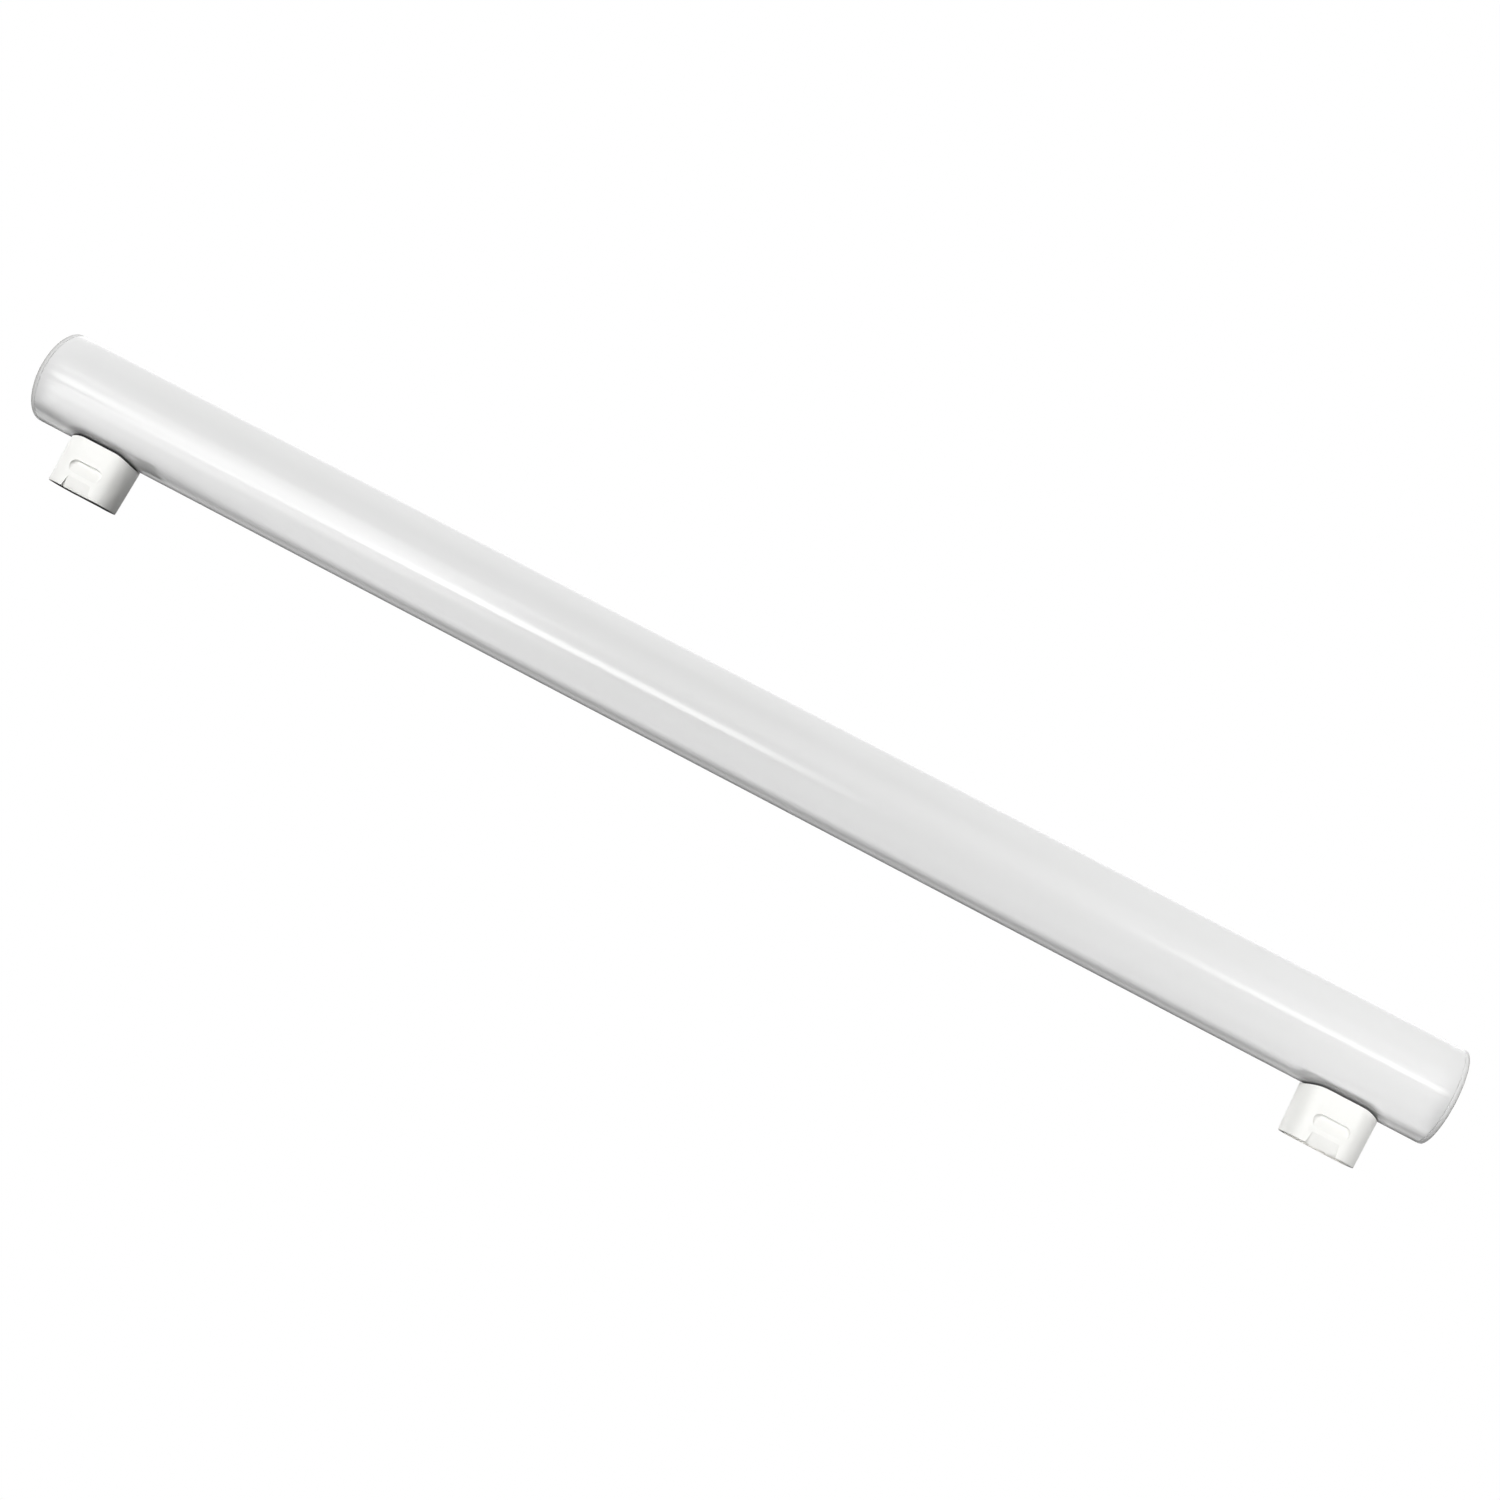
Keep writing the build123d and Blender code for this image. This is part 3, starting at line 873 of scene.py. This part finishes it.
def paintScrews(tree, place, colour):
    x, y, z = place
    # Painted shade: a dark, non-metal cross stands in for the recess in each head
    alongArm = abs(repeat(x, boardScrew["pitch"], boardScrew["first"]))
    acrossArm = abs(abs(y) - boardScrew["offset"])
    width, reach = boardScrew["armWidth"], boardScrew["armReach"]
    first = (alongArm < reach) * (acrossArm < width)
    second = (acrossArm < reach) * (alongArm < width)
    cross = first.maths("MAXIMUM", first, second) * (z > boardScrew["headTop"])
    return mixColours(tree, cross, colour, boardScrew["recess"]), 1 - cross


# Driver board: green mask over stepped copper runs, bare laminate edges, a tinned ring at each leg
driverBoard = {
    "colour": (0.035, 0.20, 0.075, 1),
    "shade": (0.028, 0.165, 0.062, 1),
    "copperRun": (0.055, 0.27, 0.10, 1),
    "laminate": (0.50, 0.45, 0.25, 1),
    "runPitch": 2.7 * mm,
    "runWidth": 1.5 * mm,
    "runStep": 0.9 * mm,
    "runLength": 13 * mm,
    "skin": 0.05 * mm,
    "ring": 0.95 * mm,
    "legs": (
        (-49.2, 0), (-37.8, 0), (-35, 2.5), (-28.5, 0), (-23.5, 0),
        (-12.2, 1.75), (16.8, 0), (21.2, 0), (24.8, 1.75),
    ),
    "cloudSize": 9 * mm,
    "grainSize": 0.18 * mm,
    "roughness": 0.32,
    "spread": 0.12,
    "relief": 0.12,
}


def paintDriverBoard(tree, place, colour):
    x, y, z = place
    step = (x - x % driverBoard["runLength"]) / driverBoard["runLength"] * driverBoard["runStep"]
    runs = (y + step) % driverBoard["runPitch"] < driverBoard["runWidth"]
    colour = mixColours(tree, runs, colour, driverBoard["copperRun"])
    inside = (z > boardUnderside + driverBoard["skin"]) * (z < boardTop - driverBoard["skin"])
    rings = inside * 0
    for alongBoard, acrossBoard in driverBoard["legs"]:
        fromLeg = (x - alongBoard * mm) ** 2 + (abs(y) - acrossBoard * mm) ** 2
        rings = rings.maths("MAXIMUM", rings, fromLeg < driverBoard["ring"] ** 2)
    rings = rings * (1 - inside)
    colour = mixColours(tree, inside, colour, driverBoard["laminate"])
    return mixColours(tree, rings, colour, tinned), rings


# Fuse resistor: grey-green enamel with three bands, metal collars and legs
fuseLook = {
    "colour": (0.30, 0.37, 0.39, 1),
    "shade": (0.26, 0.325, 0.34, 1),
    "bands": (
        (-1.5, (0.16, 0.07, 0.03, 1)),
        (-0.4, (0.03, 0.03, 0.03, 1)),
        (1.5, (0.50, 0.36, 0.12, 1)),
    ),
    "bandReach": 0.32 * mm,
    "middle": -43.5 * mm,
    "collar": 3.1 * mm,
    "cloudSize": 2 * mm,
    "grainSize": 0.12 * mm,
    "roughness": 0.3,
    "spread": 0.1,
    "relief": 0.1,
}


def paintFuse(tree, place, colour):
    out = place[0] - fuseLook["middle"]
    for middle, bandColour in fuseLook["bands"]:
        colour = mixColours(tree, within(out, middle * mm, fuseLook["bandReach"]), colour, bandColour)
    metal = abs(out) > fuseLook["collar"]
    return mixColours(tree, metal, colour, tinned), metal


# Dipped and boxed parts, whose legs go up through the board
surgeDisc = {
    "colour": (0.055, 0.14, 0.42, 1),
    "shade": (0.045, 0.115, 0.36, 1),
    "cloudSize": 2.5 * mm,
    "grainSize": 0.3 * mm,
    "roughness": 0.24,
    "spread": 0.1,
    "relief": 0.2,
}
filmCapacitor = {
    "colour": (0.70, 0.50, 0.075, 1),
    "shade": (0.645, 0.455, 0.065, 1),
    "cloudSize": 3 * mm,
    "grainSize": 0.2 * mm,
    "roughness": 0.36,
    "spread": 0.12,
    "relief": 0.15,
}


def paintLegs(tree, place, colour):
    legs = place[2] > boardUnderside
    return mixColours(tree, legs, colour, tinned), legs


# Bridge and driver chip: black epoxy, tinned feet at both sides
blackMoulding = {
    "colour": (0.030, 0.030, 0.031, 1),
    "shade": (0.022, 0.022, 0.023, 1),
    "bodyReach": 2.005 * mm,
    "cloudSize": 1.2 * mm,
    "grainSize": 0.1 * mm,
    "roughness": 0.52,
    "spread": 0.16,
    "relief": 0.3,
}


def paintFeet(tree, place, colour):
    feet = abs(place[1]) > blackMoulding["bodyReach"]
    return mixColours(tree, feet, colour, tinned), feet


# Chip resistors: black glaze between tinned ends
chipResistor = {
    "colour": (0.030, 0.030, 0.032, 1),
    "shade": (0.024, 0.024, 0.026, 1),
    "pitch": 6 * mm,
    "first": 5 * mm,
    "glaze": 1.15 * mm,
    "cloudSize": 1 * mm,
    "grainSize": 0.1 * mm,
    "roughness": 0.3,
    "spread": 0.12,
    "relief": 0.15,
}


def paintChipEnds(tree, place, colour):
    ends = abs(repeat(place[0], chipResistor["pitch"], chipResistor["first"])) > chipResistor["glaze"]
    return mixColours(tree, ends, colour, tinned), ends


# Cans: black sleeve with a grey stripe, bare metal end, tinned legs behind the seal
canLook = {
    "colour": (0.042, 0.042, 0.050, 1),
    "shade": (0.034, 0.034, 0.041, 1),
    "stripe": (0.42, 0.43, 0.44, 1),
    "stripeReach": 1.3 * mm,
    "radius": 4 * mm,
    "sleeveLip": 0.5 * mm,
    "skin": 0.02 * mm,
    "inputLength": 14 * mm,
    "outputLength": 12 * mm,
    "metalEnd": (0.75, 0.76, 0.77, 1),
    "cloudSize": 4 * mm,
    "grainSize": 0.25 * mm,
    "roughness": 0.3,
    "spread": 0.1,
    "relief": 0.12,
}


def canPaint(length, end):
    def paint(tree, place, colour):
        x, y, z = place
        low = boardUnderside - canLook["radius"]
        stripe = (abs(y) < canLook["stripeReach"]) * (z < low)
        colour = mixColours(tree, stripe, colour, canLook["stripe"])
        out = (y**2 + (z - low) ** 2) ** 0.5
        metalEnd = (x > end - canLook["skin"]) * (out < canLook["radius"] - canLook["sleeveLip"])
        colour = mixColours(tree, metalEnd, colour, canLook["metalEnd"])
        legs = x < end - length - canLook["skin"]
        legs = legs.maths("MAXIMUM", legs, z > boardUnderside)
        return mixColours(tree, legs, colour, tinned), legs.maths("MAXIMUM", legs, metalEnd)

    return paint


# Choke: ferrite flanges, and turns of enamelled wire between them, with painted shade between the turns
chokeLook = {
    "colour": (0.110, 0.102, 0.100, 1),
    "shade": (0.085, 0.080, 0.079, 1),
    "wire": (0.44, 0.155, 0.055, 1),
    "wireGapShade": (0.13, 0.045, 0.02, 1),
    "wirePitch": 0.42 * mm,
    "gapRange": (0.5, 1.0),
    "winding": (20.6 * mm, 26.2 * mm),
    "cloudSize": 2 * mm,
    "grainSize": 0.14 * mm,
    "roughness": 0.42,
    "spread": 0.16,
    "relief": 0.2,
}


def paintChoke(tree, place, colour):
    z = place[2]
    low, high = chokeLook["winding"]
    winding = (z > low) * (z < high)
    # Painted shade: each turn darkens towards its edges, where it meets the next
    fromTurn = abs(repeat(z, chokeLook["wirePitch"], 0)) / (chokeLook["wirePitch"] / 2)
    gap = smoothStep(tree, fromTurn, *chokeLook["gapRange"])
    wire = mixColours(tree, gap, chokeLook["wire"], chokeLook["wireGapShade"])
    colour = mixColours(tree, winding, colour, wire)
    legs = z > boardUnderside
    return mixColours(tree, legs, colour, tinned), legs


# Leads: soft insulation in three colours
leadLook = {
    "cloudSize": 6 * mm,
    "grainSize": 0.3 * mm,
    "roughness": 0.42,
    "spread": 0.12,
    "relief": 0.1,
}
whiteLead = {"colour": (0.82, 0.82, 0.795, 1), "shade": (0.77, 0.77, 0.745, 1), **leadLook}
redLead = {"colour": (0.50, 0.035, 0.025, 1), "shade": (0.43, 0.028, 0.02, 1), **leadLook}
blackLead = {"colour": (0.030, 0.030, 0.030, 1), "shade": (0.022, 0.022, 0.022, 1), **leadLook}

contactFinish = innerLook("contact", contactLook)
mouldingFinish = innerLook("blackMoulding", blackMoulding, paintFeet)
insulation = innerLook("whiteLead", whiteLead)
innerFinishes = {
    "left_contact": contactFinish,
    "right_contact": contactFinish,
    "rail": innerLook("rail", railLook),
    "led_board": innerLook("ledBoard", ledBoard, paintLedBoard),
    "leds": innerLook("ledPackage", ledPackage, paintLeds),
    "board_screws": innerLook("boardScrew", boardScrew, paintScrews),
    "driver_board": innerLook("driverBoard", driverBoard, paintDriverBoard),
    "fuse_resistor": innerLook("fuse", fuseLook, paintFuse),
    "surge_disc": innerLook("surgeDisc", surgeDisc, paintLegs),
    "film_capacitor": innerLook("filmCapacitor", filmCapacitor, paintLegs),
    "bridge_rectifier": mouldingFinish,
    "driver_chip": mouldingFinish,
    "input_capacitor": innerLook(
        "inputCan", canLook, canPaint(canLook["inputLength"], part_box("input_capacitor")[1].x)
    ),
    "output_capacitor": innerLook(
        "outputCan", canLook, canPaint(canLook["outputLength"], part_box("output_capacitor")[1].x)
    ),
    "choke": innerLook("choke", chokeLook, paintChoke),
    "chip_resistors": innerLook("chipResistor", chipResistor, paintChipEnds),
    "left_lead": insulation,
    "right_lead": insulation,
    "led_lead_plus": innerLook("redLead", redLead),
    "led_lead_minus": innerLook("blackLead", blackLead),
}
for node, finish in innerFinishes.items():
    for slot in cadNodes[node].material_slots:
        slot.material = finish
print("inner materials done", len(innerFinishes))


# Floor: seen from above, pale, with the lamp's shadow on it; from below the view passes it, and the
# gloss of the lamp mirrors it only close to the pegs
floorLook = {
    "size": 6.0,
    "drop": 0.2 * mm,
    "colour": (0.35, 0.35, 0.35, 1),
    "bounceColour": (0.25, 0.25, 0.25, 1),
    "roughness": 0.9,
    "glowNear": 0.55,
    "glowRange": (0.3, 1.4),
    "pegMiddle": 5 * mm,
    "pegReach": (12.4 * mm, 12 * mm),
    "rightPegShare": 0.5,
}


def buildFloor():
    bpy.ops.object.select_all(action="DESELECT")
    bpy.ops.mesh.primitive_plane_add(size=floorLook["size"], location=(0, 0, -floorLook["drop"]))
    floor = bpy.context.object
    floor.name = "floor"
    fixPlace(floor)
    material, tree, shader = newMaterial("floor")
    isCamera = addNode(tree, "ShaderNodeLightPath", output="Is Camera Ray")
    colour = mixColours(tree, isCamera, floorLook["bounceColour"], floorLook["colour"])
    x, y, z = splitSpot(tree, objectSpot(tree))
    fromLamp = (x**2 + y**2) ** 0.5
    near = floorLook["glowNear"]
    glow = near + smoothStep(tree, fromLamp, *floorLook["glowRange"]) * (1 - near)
    feed(
        tree,
        shader,
        Base_Color=colour,
        Roughness=floorLook["roughness"],
        Emission_Color=mixColours(tree, isCamera * glow, (0, 0, 0, 1), (1, 1, 1, 1)),
        Emission_Strength=1.0,
    )
    reachX, reachY = floorLook["pegReach"]
    nearPeg = (abs(abs(x) - pegPlace) < reachX) * (abs(y - floorLook["pegMiddle"]) < reachY)
    nearPeg = nearPeg * (1 - (x > 0) * (1 - floorLook["rightPegShare"]))
    isGlossy = addNode(tree, "ShaderNodeLightPath", output="Is Glossy Ray")
    under = addNode(tree, "ShaderNodeNewGeometry", output="Backfacing")
    passed = under.maths("MAXIMUM", under, isGlossy * (1 - nearPeg))
    clear = addNode(tree, "ShaderNodeBsdfTransparent")
    surface = addNode(
        tree,
        "ShaderNodeMixShader",
        None,
        {0: passed, 1: Wire(tree, shader.outputs[0]), 2: clear},
    )
    tree.links.new(surface.socket, tree.nodes["Material Output"].inputs["Surface"])
    wear(floor, material)
    floor.visible_transmission = False


buildFloor()

# Surroundings: white where they are seen, a faint level of light elsewhere
surroundings = {"upper": 0.03, "lower": 0.0, "rise": (-0.7, 0.5)}

# What the glossy tube mirrors, by the turn about the lamp's length in degrees: 0 is the front, 90 is up.
# From the left to the right it changes over a share of the direction along the lamp, and it is plain
# towards both ends
mirroredLevels = {
    "strongest": 10.0,
    "left": (
        (-180, 0.0), (-160, 0.4), (-140, 2.1), (-125, 1.8), (-112, 0.0),
        (-100, 0.8), (-85, 4.6), (-60, 7.4), (-30, 4.2), (0, 3.3),
        (20, 3.0), (60, 0.3), (120, 1.0), (160, 1.6), (180, 0.0),
    ),
    "right": (
        (-180, 0.0), (-160, 0.4), (-140, 2.1), (-125, 1.8), (-112, 4.4),
        (-100, 7.6), (-85, 7.6), (-60, 6.6), (-30, 4.2), (0, 3.3),
        (20, 3.0), (60, 0.3), (120, 1.0), (160, 1.6), (180, 0.0),
    ),
    "change": (-0.48, -0.34),
    "leftEnd": {"range": (-0.54, -0.68), "level": 1.0},
    "rightEnd": {"range": (0.36, 0.5), "level": 0.6},
}

# Soft boxes that it mirrors too: share of the direction along the lamp, tilt in degrees
mirroredBoxes = {
    "tip": {
        "along": (-1.2, -0.45),
        "soft": 0.02,
        "tilt": (-11, 4),
        "tiltSoft": (2, 5),
        "strength": 5.0,
    },
    "broad": {
        "along": (-0.45, -0.26),
        "soft": 0.03,
        "tilt": (-24, 10),
        "tiltSoft": (2, 14),
        "strength": 5.4,
    },
    "apron": {
        "along": (-1.2, -0.25),
        "soft": 0.07,
        "tilt": (-46, -20),
        "tiltSoft": (8, 6),
        "strength": 3.2,
    },
    "taper": {
        "along": (-0.3, -0.1),
        "soft": 0.04,
        "tilt": (-24, -11),
        "tiltSoft": (2, 5),
        "strength": 6.6,
    },
    "strip": {
        "along": (0.12, 1.2),
        "soft": 0.03,
        "tilt": (1, 12),
        "tiltSoft": (2, 5),
        "strength": 5.0,
    },
    "side": {
        "along": (0.0, 1.2),
        "soft": 0.25,
        "tilt": (-60, 70),
        "tiltSoft": (30, 30),
        "strength": 1.3,
    },
}


def mirroredLevel(tree, turn, side):
    strongest = mirroredLevels["strongest"]
    stops = []
    for angle, level in mirroredLevels[side]:
        share = level / strongest
        stops.append(((angle + 180) / 360, (share, share, share, 1)))
    return addNode(tree, "ShaderNodeValToRGB", {"stops": stops}, {0: turn / 360 + 0.5}) * strongest


def mirroredBox(tree, along, tilt, box):
    lowX, highX = box["along"]
    lowTilt, highTilt = box["tilt"]
    lowSoft, highSoft = box["tiltSoft"]
    across = smoothStep(tree, along, lowX - box["soft"], lowX + box["soft"])
    across = across - smoothStep(tree, along, highX - box["soft"], highX + box["soft"])
    upright = smoothStep(tree, tilt, lowTilt - lowSoft, lowTilt + lowSoft)
    upright = upright * (1 - smoothStep(tree, tilt, highTilt - highSoft, highTilt + highSoft))
    return across * upright * box["strength"]


def buildWorld():
    world = bpy.data.worlds.new("surroundings")
    bpy.context.scene.world = world
    world.use_nodes = True
    tree = world.node_tree
    direction = addNode(tree, "ShaderNodeTexCoord", output="Generated")
    x, y, z = splitSpot(tree, direction)
    rise = smoothStep(tree, z, *surroundings["rise"])
    level = surroundings["lower"] + rise * (surroundings["upper"] - surroundings["lower"])
    turn = z.maths("ARCTAN2", z, 0 - y) * (180 / pi)
    toRight = smoothStep(tree, x, *mirroredLevels["change"])
    left = mirroredLevel(tree, turn, "left")
    mirrored = left + toRight * (mirroredLevel(tree, turn, "right") - left)
    for box in mirroredBoxes.values():
        mirrored = mirrored + mirroredBox(tree, x, turn, box)
    for end in (mirroredLevels["leftEnd"], mirroredLevels["rightEnd"]):
        mirrored = mirrored + smoothStep(tree, x, *end["range"]) * (end["level"] - mirrored)
    isCamera = addNode(tree, "ShaderNodeLightPath", output="Is Camera Ray")
    isGlossy = addNode(tree, "ShaderNodeLightPath", output="Is Glossy Ray")
    isClear = addNode(tree, "ShaderNodeLightPath", output="Is Transmission Ray")
    seen = isCamera + isClear
    strength = seen + (1 - seen) * (isGlossy * mirrored + (1 - isGlossy) * level)
    background = tree.nodes["Background"]
    background.inputs["Color"].default_value = (1, 1, 1, 1)
    tree.links.new(strength.socket, background.inputs["Strength"])


buildWorld()

# Lamps, each with its place, what it points at, its size, its power and the spread of its beam
lamps = {
    "key": {
        "place": (-0.7, -1.15, 0.42),
        "aim": (0, 0, 0.03),
        "size": (0.8, 0.24),
        "power": 15.7,
        "spread": 180,
    },
    "top": {
        "place": (0.05, 0.05, 1.0),
        "aim": (0, 0, 0.03),
        "size": (1.2, 0.7),
        "power": 6.9,
        "spread": 180,
    },
    "rightEnd": {
        "place": (0.45, -0.28, 0.1),
        "aim": (0.235, 0, 0.012),
        "size": (0.2, 0.2),
        "power": 0.134,
        "spread": 80,
    },
    "endFace": {
        "place": (0.45, 0.15, 0.12),
        "aim": (0.25, 0, 0.03),
        "size": (0.15, 0.15),
        "power": 0.027,
        "spread": 50,
    },
    "back": {
        "place": (-0.75, 0.85, 0.45),
        "aim": (0, 0, 0.03),
        "size": (0.9, 0.5),
        "power": 9.0,
        "spread": 180,
    },
}


def buildLights():
    for name, box in lamps.items():
        bpy.ops.object.light_add(type="AREA", location=box["place"])
        lamp = bpy.context.object
        lamp.name = name
        lamp.data.shape = "RECTANGLE"
        lamp.data.size, lamp.data.size_y = box["size"]
        lamp.data.energy = box["power"]
        lamp.data.spread = radians(box["spread"])
        away = lamp.location.copy()
        away.x -= box["aim"][0]
        away.y -= box["aim"][1]
        away.z -= box["aim"][2]
        lamp.rotation_euler = away.to_track_quat("Z", "Y").to_euler()
        lamp.visible_glossy = False


buildLights()

# Camera of the photograph: a little below the plane of the pegs' ends, and rolled
view = {
    "place": (88.14 * mm, -633.16 * mm, -29.0 * mm),
    "turn": (95.807, -28.039, 4.059),
    "lens": 48.349,
    "sensor": 36.0,
    "nearest": 0.01,
}
bpy.ops.object.camera_add(
    location=view["place"], rotation=[radians(angle) for angle in view["turn"]]
)
camera = bpy.context.object
camera.data.lens = view["lens"]
camera.data.sensor_width = view["sensor"]
camera.data.clip_start = view["nearest"]
bpy.context.scene.camera = camera
bpy.context.scene.view_settings.view_transform = "Standard"
print("stage done")
